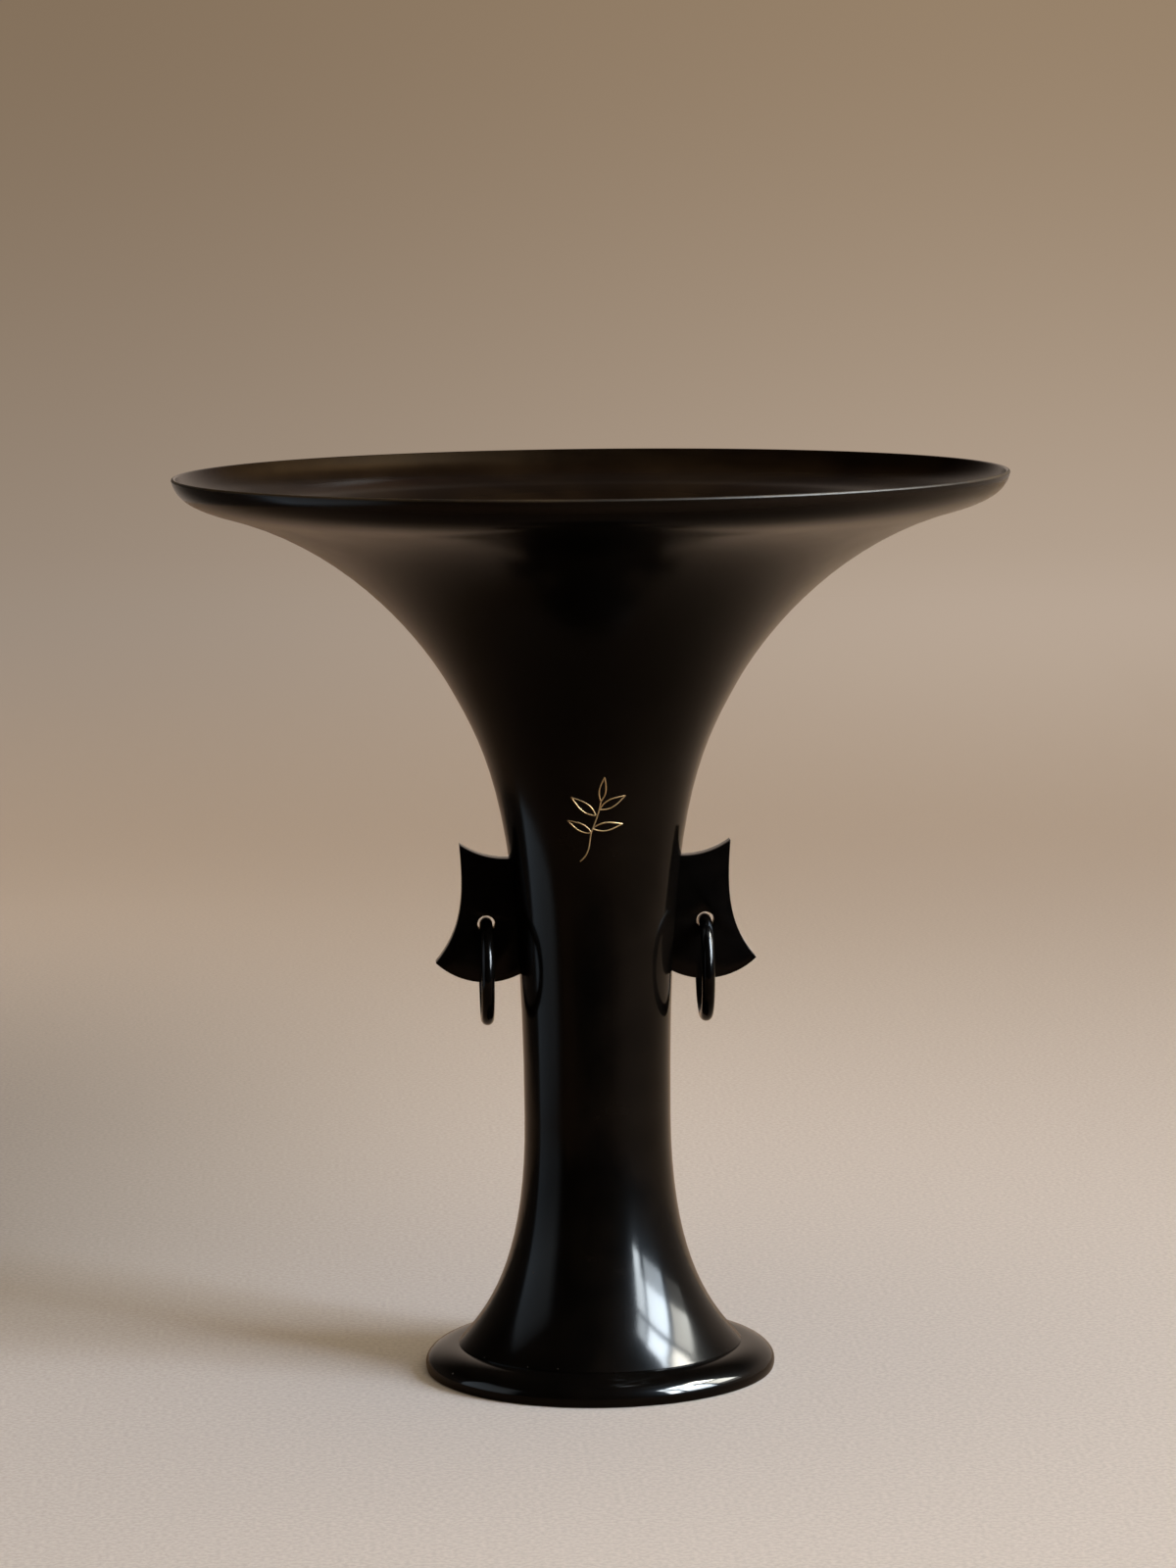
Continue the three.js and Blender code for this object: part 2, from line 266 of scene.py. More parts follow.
def patina_clouds_group():
    """Soft clouds of the chemical patina, and the fine grain of the metal under it."""
    group, given, result = new_group("patina_clouds", ["Scale"], ["Cloud", "Grain"])
    cloud = add_node(
        group, "ShaderNodeTexNoise", Vector=given["Vector"], Scale=given["Scale"],
        Detail=4.0, Roughness=0.6, Distortion=0.4,
    )
    grain = add_node(
        group, "ShaderNodeTexNoise", Vector=given["Vector"],
        Scale=times(group, given["Scale"], GRAIN_FINENESS), Detail=3.0, Roughness=0.6,
    )
    group.links.new(spread(group, cloud.outputs["Fac"], *NOISE_RANGE, 0.0, 1.0), result["Cloud"])
    group.links.new(grain.outputs["Fac"], result["Grain"])
    return group


def lathe_lines_group():
    """Rings left by turning and polishing: noise over radius and height, the same all the way round."""
    group, given, result = new_group("lathe_lines", ["Pitch"], ["Height"])
    parts = split(group, given["Vector"])
    squares = plus(group, times(group, parts["X"], parts["X"]), times(group, parts["Y"], parts["Y"]))
    section = add_node(
        group, "ShaderNodeCombineXYZ", X=operated(group, "SQRT", squares), Y=parts["Z"]
    )
    lines = add_node(
        group, "ShaderNodeTexNoise", {"noise_dimensions": "2D"}, Vector=section.outputs["Vector"],
        Scale=given["Pitch"], Detail=2.0,
    )
    group.links.new(lines.outputs["Fac"], result["Height"])
    return group


def settled_dust_group():
    """Sparse specks of dust: a dot in a few of the cells of a loose scatter."""
    group, given, result = new_group("settled_dust", ["Scale", "Share"], ["Mask"])
    cells = add_node(group, "ShaderNodeTexVoronoi", Vector=given["Vector"], Scale=given["Scale"])
    chance = add_node(group, "ShaderNodeSeparateColor", Color=cells.outputs["Color"]).outputs
    size = spread(group, chance["Green"], 0.0, 1.0, *SPECK_SIZES)
    dot = operated(group, "LESS_THAN", cells.outputs["Distance"], size)
    chosen = operated(group, "LESS_THAN", chance["Red"], given["Share"])
    group.links.new(times(group, dot, chosen), result["Mask"])
    return group


patina_clouds = patina_clouds_group()
lathe_lines = lathe_lines_group()
settled_dust = settled_dust_group()


def new_material(name):
    """A material, its node tree, its Principled shader and its Object coordinates."""
    material = bpy.data.materials.new(name)
    material.use_nodes = True
    tree = material.node_tree
    shader = tree.nodes["Principled BSDF"]
    place = tree.nodes.new("ShaderNodeTexCoord").outputs["Object"]
    return material, tree, shader, place


def grouped(tree, group, **inputs):
    """Places a node group in a material and returns its outputs."""
    return add_node(tree, "ShaderNodeGroup", {"node_tree": group}, **inputs).outputs


def bumped(tree, height, distance):
    """A bump normal from a height, in metres at full height."""
    bump = add_node(tree, "ShaderNodeBump", Height=height, Strength=1.0, Distance=distance)
    return bump.outputs["Normal"]


def relief_of(tree, grain, lines, grain_share):
    """The metal's grain and the lathe's lines in one height."""
    return plus(tree, times(tree, grain, grain_share), times(tree, lines, 1 - grain_share))


BLACK_PATINA = (0.0008, 0.0006, 0.0004, 1)
BROWN_PATINA = (0.0034, 0.0022, 0.0013, 1)
LIP_BROWN = (0.0062, 0.0038, 0.0022, 1)
RUBBED_BRONZE = (0.70, 0.40, 0.11, 1)
DUST = (0.22, 0.20, 0.18, 1)
WAX_IOR = 1.15
WAX_TINT = (1.0, 0.82, 0.67, 1)
WAX_HAZE, BELL_HAZE = 0.18, 0.03
HAZE_ROUGHNESS = 0.26
DUST_DULLING = 0.45

# The body's patina, by height: where the haze, the brown, the dust and the gloss of the stem give way
# to those of the bell, and where the lip's brown band and its rubbed edge lie
HAZE_CHANGE = (0.10, 0.25)
BROWN_CHANGE = (0.16, 0.26)
# The bell has far less brown than the stem, so it is darker: painted shade on its underside, which faces
# down
STEM_BROWN, SHADED_BELL_BROWN = 0.7, 0.15
DUST_CHANGE = (0.14, 0.20)
BELL_CHANGE = (0.17, 0.28)
LIP_BROWN_START = 0.2935
LIP_RUB_START, LIP_RUB_END = 0.2990, 0.2996
RUB_CLOUDS, RUB_SHARES = (0.1, 0.8), (0.008, 0.03)
BODY_GLOSS = (0.11, 0.14)
BELL_DULLING, LIP_DULLING = 0.09, 0.25
BODY_CLOUDS, BODY_PITCH = 38.0, 900.0
BODY_GRAIN_SHARE, BODY_RELIEF = 0.55, 0.000006
BODY_DUST_SCALE, BODY_DUST_SHARE, BODY_DUST_COVER = 130.0, 0.016, 0.3
CREASE_DUST_SCALE, CREASE_DUST_SHARE = 420.0, 0.5
CREASE_DUST_RISE = 0.0025


def waxed(tree, shader, ior=WAX_IOR):
    """Sets the low, warm reflection of a waxed patina, and the haze of the wax over it."""
    fitted(
        tree, shader, IOR=ior, Specular_Tint=WAX_TINT, Coat_Weight=WAX_HAZE,
        Coat_Roughness=HAZE_ROUGHNESS, Coat_IOR=WAX_IOR,
    )


def patina_outside():
    """Waxed patina of the body: brown clouds on the stem, a softer bell in painted shade, a brown band at
    the lip.
    """
    material, tree, shader, place = new_material("waxed_black_patina")
    height = split(tree, place)["Z"]
    clouds = grouped(tree, patina_clouds, Vector=place, Scale=BODY_CLOUDS)
    lines = grouped(tree, lathe_lines, Vector=place, Pitch=BODY_PITCH)["Height"]
    dust = grouped(
        tree, settled_dust, Vector=place, Scale=BODY_DUST_SCALE, Share=BODY_DUST_SHARE
    )["Mask"]
    crease_top = CREASE_HEIGHT + CREASE_DUST_RISE
    in_crease = spread(tree, height, CREASE_HEIGHT, crease_top, CREASE_DUST_SHARE, 0.0)
    crease_dust = grouped(
        tree, settled_dust, Vector=place, Scale=CREASE_DUST_SCALE, Share=in_crease
    )["Mask"]
    dust = times(tree, dust, spread(tree, height, *DUST_CHANGE, 1.0, 0.0))
    dust = operated(tree, "MAXIMUM", dust, crease_dust)
    bell = spread(tree, height, *BELL_CHANGE, 0.0, 1.0)
    under_lip = spread(tree, height, LIP_BROWN_START, LIP_RUB_START, 0.0, 1.0)
    lip = spread(tree, height, LIP_RUB_START, LIP_RUB_END, 0.0, 1.0)

    # Less brown on the bell than on the stem: painted shade.
    brown_share = spread(tree, height, *BROWN_CHANGE, STEM_BROWN, SHADED_BELL_BROWN)
    rub = times(tree, lip, spread(tree, clouds["Cloud"], *RUB_CLOUDS, *RUB_SHARES))
    colour = mixed(tree, times(tree, clouds["Cloud"], brown_share), BLACK_PATINA, BROWN_PATINA)
    colour = mixed(tree, under_lip, colour, LIP_BROWN)
    colour = mixed(tree, rub, colour, RUBBED_BRONZE)
    colour = mixed(tree, times(tree, dust, BODY_DUST_COVER), colour, DUST)

    gloss = spread(tree, clouds["Cloud"], 0.0, 1.0, *BODY_GLOSS)
    for mask, dulling in ((bell, BELL_DULLING), (lip, LIP_DULLING), (dust, DUST_DULLING)):
        gloss = plus(tree, gloss, times(tree, mask, dulling))
    relief = relief_of(tree, clouds["Grain"], lines, BODY_GRAIN_SHARE)
    waxed(tree, shader)
    fitted(
        tree, shader, Base_Color=colour, Metallic=rub, Roughness=gloss,
        Coat_Weight=spread(tree, height, *HAZE_CHANGE, WAX_HAZE, BELL_HAZE),
        Normal=bumped(tree, relief, BODY_RELIEF),
    )
    return material


INSIDE_BROWN = (0.0038, 0.0020, 0.0010, 1)
INSIDE_OLIVE = (0.0082, 0.0044, 0.0019, 1)
INSIDE_TINT = (1.0, 0.54, 0.27, 1)
INSIDE_METAL = 0.10
INSIDE_IOR = 1.02
INSIDE_GLOSS = (0.42, 0.5)
INSIDE_CLOUDS, SCRAPER_PITCH = 26.0, 420.0
INSIDE_GRAIN_SHARE, INSIDE_RELIEF = 0.6, 0.00002
INSIDE_DUST_SCALE, INSIDE_DUST_SHARE, INSIDE_DUST_COVER = 120.0, 0.03, 0.12
GLANCE_RANGE = (0.47, 0.78)
GLANCE_IOR = 1.3
GLANCE_ROUGHNESS = 0.2

# The rubbed part of the inside, behind the mouth's middle and near the lip
RUBBED_BACK = (-0.06, -0.01)
RUBBED_UP = (0.270, 0.285)


def patina_inside():
    """Dull brown patina of the inside, with the scraper's marks, and rubbed at the back near the lip.

    Where it is rubbed, a little bare bronze comes through, and it has a sheen at a glancing angle.
    """
    material, tree, shader, place = new_material("dull_brown_patina")
    clouds = grouped(tree, patina_clouds, Vector=place, Scale=INSIDE_CLOUDS)
    lines = grouped(tree, lathe_lines, Vector=place, Pitch=SCRAPER_PITCH)["Height"]
    dust = grouped(
        tree, settled_dust, Vector=place, Scale=INSIDE_DUST_SCALE, Share=INSIDE_DUST_SHARE
    )["Mask"]
    colour = mixed(tree, clouds["Cloud"], INSIDE_BROWN, INSIDE_OLIVE)
    colour = mixed(tree, times(tree, dust, INSIDE_DUST_COVER), colour, DUST)
    relief = relief_of(tree, clouds["Grain"], lines, INSIDE_GRAIN_SHARE)
    parts = split(tree, place)
    rubbed_back = spread(tree, parts["Y"], *RUBBED_BACK, 0.0, 1.0)
    rubbed = times(tree, rubbed_back, spread(tree, parts["Z"], *RUBBED_UP, 0.0, 1.0))
    glance = tree.nodes.new("ShaderNodeLayerWeight").outputs["Facing"]
    fitted(
        tree, shader, IOR=INSIDE_IOR, Specular_Tint=INSIDE_TINT,
        Coat_Roughness=GLANCE_ROUGHNESS, Coat_IOR=GLANCE_IOR,
    )
    fitted(
        tree, shader, Base_Color=colour, Metallic=times(tree, rubbed, INSIDE_METAL),
        Roughness=spread(tree, clouds["Cloud"], 0.0, 1.0, *INSIDE_GLOSS),
        Coat_Weight=times(tree, spread(tree, glance, *GLANCE_RANGE, 0.0, 1.0), rubbed),
        Normal=bumped(tree, relief, INSIDE_RELIEF),
    )
    return material


OUTSIDE_SLOT, INSIDE_SLOT = 0, 1
body.data.materials.append(patina_outside())
body.data.materials.append(patina_inside())
for face in body.data.polygons:
    from_axis = Vector((face.center.x, face.center.y, 0))
    face.material_index = INSIDE_SLOT if face.normal.dot(from_axis) < 0 else OUTSIDE_SLOT
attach(body, "vase")
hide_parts("vase_body")

# Foot ring: a half-round bead of bronze, turned as its own ring and polished brighter than the body.
# The body's spigot stands in its rebate and is soldered there, and its flange carries the bottom plate.

foot_low, foot_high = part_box("foot_ring")
FOOT_BORE = 0.0385
BEAD_WIDEST_HEIGHT = 0.0024
BEAD_UNDERCUT = 0.0007
REBATE_RADIUS = 0.0463
FLANGE_TOP = 0.006
QUARTER_PULL = 0.5523

bead_width = foot_high.x - FLARE_FOOT_RADIUS
crown_rise = foot_high.z - BEAD_WIDEST_HEIGHT
foot_knots = [
    knot(FOOT_BORE, 0),
    knot(foot_high.x - BEAD_UNDERCUT, 0, 0, 0, BEAD_UNDERCUT * QUARTER_PULL),
    knot(
        foot_high.x, BEAD_WIDEST_HEIGHT, 90, BEAD_WIDEST_HEIGHT * QUARTER_PULL, crown_rise * QUARTER_PULL
    ),
    knot(FLARE_FOOT_RADIUS, foot_high.z, 180, bead_width * QUARTER_PULL, 0),
    knot(REBATE_RADIUS, foot_high.z),
    knot(REBATE_RADIUS, FLANGE_TOP),
    knot(FOOT_BORE, FLANGE_TOP),
]
foot = turned("bead_foot", foot_knots)

FOOT_IOR = 1.22
FOOT_GLOSS, FOOT_BROWN = (0.03, 0.05), 0.4
SMALL_CLOUDS, SMALL_RELIEF = 70.0, 0.000004
SMALL_DUST_SCALE, SMALL_DUST_SHARE, SMALL_DUST_COVER = 220.0, 0.015, 0.4


def patina_of_small_parts(name, gloss_range, brown_share, ior=WAX_IOR):
    """The same waxed patina on a smaller piece, a little browner where hands and cloths rub it."""
    material, tree, shader, place = new_material(name)
    clouds = grouped(tree, patina_clouds, Vector=place, Scale=SMALL_CLOUDS)
    dust = grouped(
        tree, settled_dust, Vector=place, Scale=SMALL_DUST_SCALE, Share=SMALL_DUST_SHARE
    )["Mask"]
    brown = times(tree, clouds["Cloud"], brown_share)
    colour = mixed(tree, brown, BLACK_PATINA, BROWN_PATINA)
    colour = mixed(tree, times(tree, dust, SMALL_DUST_COVER), colour, DUST)
    gloss = spread(tree, clouds["Cloud"], 0.0, 1.0, *gloss_range)
    gloss = plus(tree, gloss, times(tree, dust, DUST_DULLING))
    waxed(tree, shader, ior)
    fitted(
        tree, shader, Base_Color=colour, Roughness=gloss,
        Normal=bumped(tree, clouds["Grain"], SMALL_RELIEF),
    )
    return material


foot_patina = patina_of_small_parts("waxed_patina_of_foot", FOOT_GLOSS, FOOT_BROWN, FOOT_IOR)
foot.data.materials.append(foot_patina)
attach(foot, "vase")
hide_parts("foot_ring")

# Bottom plate: a bronze disc that closes the body from below, left as it came from the lathe and
# never polished, with a soft-solder fillet round it inside. Both keep their turned shapes.

PLATE_DARK, PLATE_LIGHT = (0.055, 0.040, 0.026, 1), (0.130, 0.095, 0.058, 1)
SOLDER_DARK, SOLDER_LIGHT = (0.30, 0.29, 0.27, 1), (0.48, 0.47, 0.44, 1)
BARE_CLOUDS, BARE_RELIEF = 90.0, 0.00004


def unpolished_metal(name, dark, light, metallic, gloss_range, pitch):
    """Bare metal that was turned or poured and left so, dulled in clouds."""
    material, tree, shader, place = new_material(name)
    clouds = grouped(tree, patina_clouds, Vector=place, Scale=BARE_CLOUDS)
    lines = grouped(tree, lathe_lines, Vector=place, Pitch=pitch)["Height"]
    fitted(
        tree, shader, Metallic=metallic, Base_Color=mixed(tree, clouds["Cloud"], dark, light),
        Roughness=spread(tree, clouds["Grain"], *NOISE_RANGE, *gloss_range),
        Normal=bumped(tree, lines, BARE_RELIEF),
    )
    return material


def refinished(node, material):
    """Gives a CAD node a finish of its own."""
    frame["nodes"][node].material_slots[0].material = material


plate_bronze = unpolished_metal(
    "unpolished_plate", PLATE_DARK, PLATE_LIGHT, metallic=0.8, gloss_range=(0.4, 0.6), pitch=700.0
)
solder = unpolished_metal(
    "soft_solder", SOLDER_DARK, SOLDER_LIGHT, metallic=0.9, gloss_range=(0.35, 0.55), pitch=300.0
)
refinished("bottom_plate", plate_bronze)
refinished("bottom_solder_seam", solder)

# Ears: two flat fan-shaped plates of bronze, cast, filed crisp and finished like the body.
# Each stands against the stem on two tenons that go through its wall and are peened inside.

EAR_HOLE_HEIGHT = 0.1508
EAR_HOLE_RADIUS = 0.00295
EAR_EDGE = 0.00022
EAR_EDGE_STEPS = 3
FLAT_ANGLE = math.radians(0.2)
SHOULDER_HEIGHT = 0.1726
SHOULDER_REACH = 0.02947
TOP_TIP = (0.04497, 0.1776)
LOWER_TIP_HEIGHT = 0.1381
BOTTOM_HEIGHT = 0.1314
ROOT_TOP_REACH = 0.0272
ROOT_BOTTOM_REACH = 0.0240
ROOT_TOP_SLOPE = 239
ROOT_BOTTOM_SLOPE = 266
ROOT_PULL = 0.013
SIDE_TOP_SLOPE = -95
SIDE_TOP_PULL = 0.018
SIDE_TIP_SLOPE = -50
SIDE_TIP_PULL = 0.014

ear_low, ear_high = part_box("right_ear")
ring_joint = next(joint for joint in frame["joints"] if joint["child"] == "right_ring")
hole_reach = ring_joint["pos_m"][0]


def arc_pull(radius, sweep):
    """The handle that makes a Bezier span of an arc of this sweep, in radians."""
    return 4 / 3 * math.tan(sweep / 4) * radius


def ear_knots():
    """Round the ear from the top of its root: shoulder, top tip, outer side, lower tip and bottom arc."""
    top_run = TOP_TIP[0] - SHOULDER_REACH
    top_lift = TOP_TIP[1] - SHOULDER_HEIGHT
    top_radius = (top_run**2 + top_lift**2) / (2 * top_lift)
    top_sweep = math.asin(top_run / top_radius)
    top_pull = arc_pull(top_radius, top_sweep)
    top_end = math.degrees(top_sweep)
    tip_run = ear_high.x - hole_reach
    tip_lift = LOWER_TIP_HEIGHT - BOTTOM_HEIGHT
    bottom_radius = (tip_run**2 + tip_lift**2) / (2 * tip_lift)
    tip_turn = math.asin(tip_run / bottom_radius)
    root_turn = math.asin((hole_reach - ROOT_BOTTOM_REACH) / bottom_radius)
    bottom_pull = arc_pull(bottom_radius, tip_turn + root_turn)
    bottom_start = 180 + math.degrees(tip_turn)
    bottom_end = 180 - math.degrees(root_turn)
    root_bottom = BOTTOM_HEIGHT + bottom_radius * (1 - math.cos(root_turn))
    root_down, root_up = ROOT_TOP_SLOPE - 180, ROOT_BOTTOM_SLOPE - 180
    return [
        corner(ROOT_TOP_REACH, SHOULDER_HEIGHT, root_down, ROOT_PULL, 0, 0),
        knot(SHOULDER_REACH, SHOULDER_HEIGHT, 0, 0, top_pull),
        corner(*TOP_TIP, top_end, top_pull, SIDE_TOP_SLOPE, SIDE_TOP_PULL),
        corner(ear_high.x, LOWER_TIP_HEIGHT, SIDE_TIP_SLOPE, SIDE_TIP_PULL, bottom_start, bottom_pull),
        corner(ROOT_BOTTOM_REACH, root_bottom, bottom_end, bottom_pull, root_up, ROOT_PULL),
    ]


def ear_plate(name):
    """The right ear's plate: its outline and the ring's hole, drawn flat, thickened and eased."""
    flat = Matrix.Rotation(-math.pi / 2, 3, "X")
    curve = drawn_curve(name, [[flat @ part for part in each] for each in ear_knots()], closed=True)
    curve.data.dimensions = "2D"
    curve.data.fill_mode = "BOTH"
    bpy.ops.object.mode_set(mode="EDIT")
    bpy.ops.curve.select_all(action="DESELECT")
    bpy.ops.curve.primitive_bezier_circle_add(
        radius=EAR_HOLE_RADIUS, location=(hole_reach, EAR_HOLE_HEIGHT, 0)
    )
    bpy.ops.object.mode_set(mode="OBJECT")
    curve.data.extrude = ear_high.y
    bpy.ops.object.convert(target="MESH")
    bpy.ops.object.mode_set(mode="EDIT")
    bpy.ops.mesh.select_all(action="SELECT")
    bpy.ops.mesh.remove_doubles(threshold=MERGE_DISTANCE)
    bpy.ops.mesh.dissolve_limited(angle_limit=FLAT_ANGLE)
    bpy.ops.object.mode_set(mode="OBJECT")
    plate = bpy.context.object
    plate.rotation_euler = (math.pi / 2, 0, 0)
    bpy.ops.object.transform_apply(location=True, rotation=True, scale=True)
    eased = plate.modifiers.new("eased_edges", "BEVEL")
    eased.width = EAR_EDGE
    eased.segments = EAR_EDGE_STEPS
    eased.limit_method = "ANGLE"
    eased.angle_limit = SHARP_ANGLE
    bpy.ops.object.modifier_apply(modifier=eased.name)
    return plate


TENON_RADIUS = 0.00225
HEAD_RADIUS = 0.00325
HEAD_THICKNESS = 0.001
HEAD_DOME = 0.0006
TENON_ROOT = 0.003
TENON_SIDES = 40
STEM_RADIUS = 0.0265
INNER_END = -0.9
EAR_GLOSS, EAR_BROWN = (0.12, 0.2), 0.5

# Over the dome of a head: the share of its height, and how far it draws in
DOME_STEPS = [(0.65, 0.86), (0.35, 0.5)]


def mesh_deselected():
    """Leaves nothing selected in the active mesh."""
    bpy.ops.object.mode_set(mode="EDIT")
    bpy.ops.mesh.select_all(action="DESELECT")
    bpy.ops.object.mode_set(mode="OBJECT")


def peened_tenon(washer):
    """One tenon of the right ear, from inside the plate to its domed head on the washer's face."""
    low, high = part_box(washer)
    height = (low.z + high.z) / 2
    head_start = low.x
    length = STEM_RADIUS + TENON_ROOT - head_start
    bpy.ops.object.select_all(action="DESELECT")
    bpy.ops.mesh.primitive_cylinder_add(
        vertices=TENON_SIDES, radius=TENON_RADIUS, depth=length, rotation=(0, math.pi / 2, 0),
        location=(head_start + length / 2, 0, height),
    )
    tenon = bpy.context.object
    bpy.ops.object.transform_apply(location=True, rotation=True, scale=True)
    mesh_deselected()
    for face in tenon.data.polygons:
        face.select = face.normal.x < INNER_END
    bpy.ops.object.mode_set(mode="EDIT")
    steps = [
        (0, HEAD_RADIUS / TENON_RADIUS),
        (HEAD_DOME - HEAD_THICKNESS, 1),
        *[(-HEAD_DOME * share, draw) for share, draw in DOME_STEPS],
    ]
    for shift, scale in steps:
        bpy.ops.mesh.extrude_region_move(TRANSFORM_OT_translate={"value": (shift, 0, 0)})
        bpy.ops.transform.resize(value=(1, scale, scale), center_override=(0, 0, height))
    bpy.ops.object.mode_set(mode="OBJECT")
    return tenon


def joined(whole, parts):
    """Joins the parts into the whole, which stays the active object."""
    bpy.ops.object.select_all(action="DESELECT")
    for part in [whole, *parts]:
        part.select_set(True)
    bpy.context.view_layer.objects.active = whole
    bpy.ops.object.join()


def right_ear():
    """The plate with its two tenons, as one piece."""
    plate = ear_plate("right_fan_ear")
    joined(plate, [peened_tenon("right_upper_washer"), peened_tenon("right_lower_washer")])
    tidied()
    bpy.ops.object.shade_smooth_by_angle(angle=SHARP_ANGLE)
    plate.data.materials.clear()
    plate.data.materials.append(patina_of_small_parts("waxed_patina_of_ears", EAR_GLOSS, EAR_BROWN))
    return plate


def turned_half_round(piece, name):
    """A copy of a right-hand piece, turned half round the vase's axis, with its own mesh."""
    copy = piece.copy()
    copy.data = piece.data.copy()
    copy.name = name
    bpy.context.scene.collection.objects.link(copy)
    bpy.ops.object.select_all(action="DESELECT")
    copy.select_set(True)
    bpy.context.view_layer.objects.active = copy
    copy.rotation_euler = (0, 0, math.pi)
    bpy.ops.object.transform_apply(location=True, rotation=True, scale=True)
    return copy


ear_of_right = right_ear()
ear_of_left = turned_half_round(ear_of_right, "left_fan_ear")
for side, ear in (("right", ear_of_right), ("left", ear_of_left)):
    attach(ear, "vase")
    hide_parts(f"{side}_ear")

# Washers: small saddles of sheet brass inside the stem, one under the peened head of each tenon.
# They keep their CAD shapes, and the brass is dulled and never polished.

BRASS_DARK, BRASS_LIGHT = (0.20, 0.14, 0.06, 1), (0.44, 0.32, 0.14, 1)
washer_brass = unpolished_metal(
    "dulled_brass", BRASS_DARK, BRASS_LIGHT, metallic=0.95, gloss_range=(0.35, 0.55), pitch=1200.0
)
for side in ("right", "left"):
    for place in ("upper", "lower"):
        refinished(f"{side}_{place}_washer", washer_brass)

# Rings: round bronze wire bent to a circle, its ends brazed and filed flush. Each hangs loose
# through its ear and swings about the hole.

RING_SEGMENTS = 112
WIRE_SEGMENTS = 28
JOINT_DEPTH = 0.00005
JOINT_SEGMENT = 5
RING_GLOSS, RING_BROWN = (0.08, 0.14), 0.5

ring_low, ring_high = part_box("right_ring")
wire_radius = (ring_high.x - ring_low.x) / 2


def right_ring():
    """A ring with the fine groove of its brazed joint, low on the side towards the front."""
    bpy.ops.object.select_all(action="DESELECT")
    bpy.ops.mesh.primitive_torus_add(
        major_segments=RING_SEGMENTS, minor_segments=WIRE_SEGMENTS, minor_radius=wire_radius,
        major_radius=ring_high.y - wire_radius, rotation=(0, math.pi / 2, 0),
        location=(ring_low + ring_high) / 2,
    )
    ring = bpy.context.object
    ring.name = "right_hanging_ring"
    bpy.ops.object.transform_apply(location=True, rotation=True, scale=True)
    mesh_deselected()
    first = JOINT_SEGMENT * WIRE_SEGMENTS
    for point in list(ring.data.vertices)[first:first + WIRE_SEGMENTS]:
        point.select = True
    bpy.ops.object.mode_set(mode="EDIT")
    bpy.ops.transform.shrink_fatten(value=-JOINT_DEPTH)
    bpy.ops.object.mode_set(mode="OBJECT")
    bpy.ops.object.shade_smooth()
    ring.data.materials.append(patina_of_small_parts("waxed_patina_of_rings", RING_GLOSS, RING_BROWN))
    return ring


ring_of_right = right_ring()
ring_of_left = turned_half_round(ring_of_right, "left_hanging_ring")
for side, ring in (("right", ring_of_right), ("left", ring_of_left)):
    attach(ring, f"{side}_ring")
    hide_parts(f"{side}_ring")

# Gilt sprig: an open line ornament on the front of the throat, cut into the patina with a graver
# and filled with gold. Its strokes are drawn flat, laid on the body and sunk into it.

SPRIG_HEIGHT = 0.1881
SPRIG_STROKE = 0.00027
SPRIG_SINK = 0.00017
SPRIG_STEPS = 14
SPRIG_ROUNDNESS = 3
SPRIG_SHARP_ANGLE = math.radians(50)
DRAWING_BOARD = -0.08
LEAF_PULL = 0.42
LEAF_SWELL = 3
LEAF_CLOSE = 0.55

# Each leaf: where it leaves the stem, the way it points in degrees, its length and its fullness
SPRIG_LEAVES = [
    (0.0005, 0.0070, 82, 0.0082, 0.20),
    (-0.0012, 0.0022, 142, 0.0100, 0.22),
    (0.0000, 0.0042, 28, 0.0096, 0.22),
    (-0.0026, -0.0036, 152, 0.0086, 0.22),
    (-0.0022, -0.0022, 8, 0.0098, 0.22),
]

# The stem, from its foot: each place, the way it goes there in degrees, and its pull
SPRIG_STEM = [
    (-0.0062, -0.0132, 38, 0.005),
    (-0.0022, -0.0022, 68, 0.004),
    (0.0005, 0.0070, 80, 0.003),
]


def board_knot(across, up, way, pull):
    """A point of a stroke, on the drawing board in front of the vase."""
    return knot(across, SPRIG_HEIGHT + up, way, pull, pull, DRAWING_BOARD)


def stroke(knots):
    """One drawn line, as a wire of edges."""
    line = drawn_curve("stroke", knots, closed=False)
    line.data.resolution_u = SPRIG_STEPS
    bpy.ops.object.convert(target="MESH")
    return bpy.context.object


def leaf_strokes(across, up, way, length, fullness):
    """A leaf in two strokes, one along each side from the stem to the tip."""
    tip_across = across + math.cos(math.radians(way)) * length
    tip_up = up + math.sin(math.radians(way)) * length
    pull = length * LEAF_PULL
    swing = math.degrees(math.atan(fullness * LEAF_SWELL))
    sides = []
    for turn in (swing, -swing):
        start = board_knot(across, up, way + turn, pull)
        end = board_knot(tip_across, tip_up, way - turn * LEAF_CLOSE, pull)
        sides.append(stroke([start, end]))
    return sides


GILT_BRIGHT, GILT_WORN = (0.32, 0.173, 0.062, 1), (0.172, 0.094, 0.034, 1)
GILT_METAL = 0.7
GILT_GLOSS = (0.4, 0.54)
GILT_CLOUDS, GILT_RELIEF = 260.0, 0.00002


def gilt():
    """Gold in a cut line: brighter where it is whole, thin and brown where it has worn."""
    material, tree, shader, place = new_material("worn_gilt")
    clouds = grouped(tree, patina_clouds, Vector=place, Scale=GILT_CLOUDS)
    fitted(
        tree, shader, Metallic=GILT_METAL,
        Base_Color=mixed(tree, clouds["Cloud"], GILT_BRIGHT, GILT_WORN),
        Roughness=spread(tree, clouds["Cloud"], 0.0, 1.0, *GILT_GLOSS),
        Normal=bumped(tree, clouds["Grain"], GILT_RELIEF),
    )
    return material


